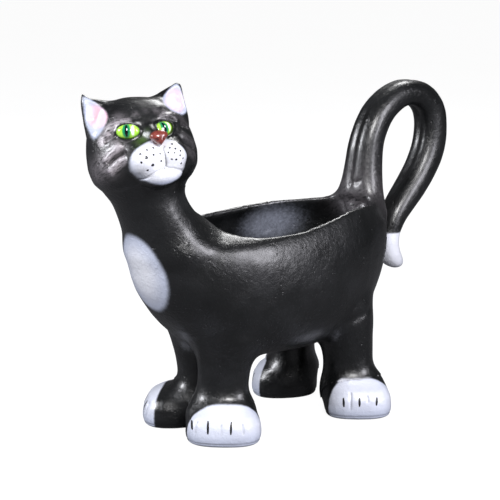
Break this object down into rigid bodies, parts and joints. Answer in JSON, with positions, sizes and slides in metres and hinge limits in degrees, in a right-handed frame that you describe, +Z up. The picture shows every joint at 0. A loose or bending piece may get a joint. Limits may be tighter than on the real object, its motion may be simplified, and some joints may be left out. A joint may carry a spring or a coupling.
{
  "type": "ceramic cat figurine",
  "caption": "Hollow glazed ceramic standing cat with an open bowl for a body, a turned head, splayed paws and a looped strap tail.",
  "frame": {"origin": "middle of the bounding box, on the surface the paws stand on", "axes": "+Z up, the body faces -Y, the cat's left side is towards +X"},
  "size_m": [0.136, 0.3558, 0.2719],
  "materials": {
    "black_glaze": "satin-gloss black glaze with fine pits and brush marks",
    "white_glaze": "satin-gloss cool white glaze",
    "ear_slip": "pink slip fading to a white and blue-grey rim, under satin glaze",
    "eye_glaze": "high-gloss yellow-green with a black slit",
    "nose_glaze": "gloss red-brown"
  },
  "bodies": {
    "root": {"bowl_body": "black_glaze", "chin": "white_glaze", "ear_left": "ear_slip", "ear_right": "ear_slip", "eye_left": "eye_glaze", "eye_right": "eye_glaze", "head": "black_glaze", "leg_front_left": "black_glaze", "leg_front_right": "black_glaze", "leg_rear_left": "black_glaze", "leg_rear_right": "black_glaze", "neck": "black_glaze", "nose": "nose_glaze", "nose_bridge": "black_glaze", "paw_front_left": "white_glaze", "paw_front_right": "white_glaze", "paw_rear_left": "white_glaze", "paw_rear_right": "white_glaze", "tail_loop": "black_glaze", "tail_tip": "white_glaze", "whisker_pad_left": "white_glaze", "whisker_pad_right": "white_glaze"}
  },
  "joints": []
}
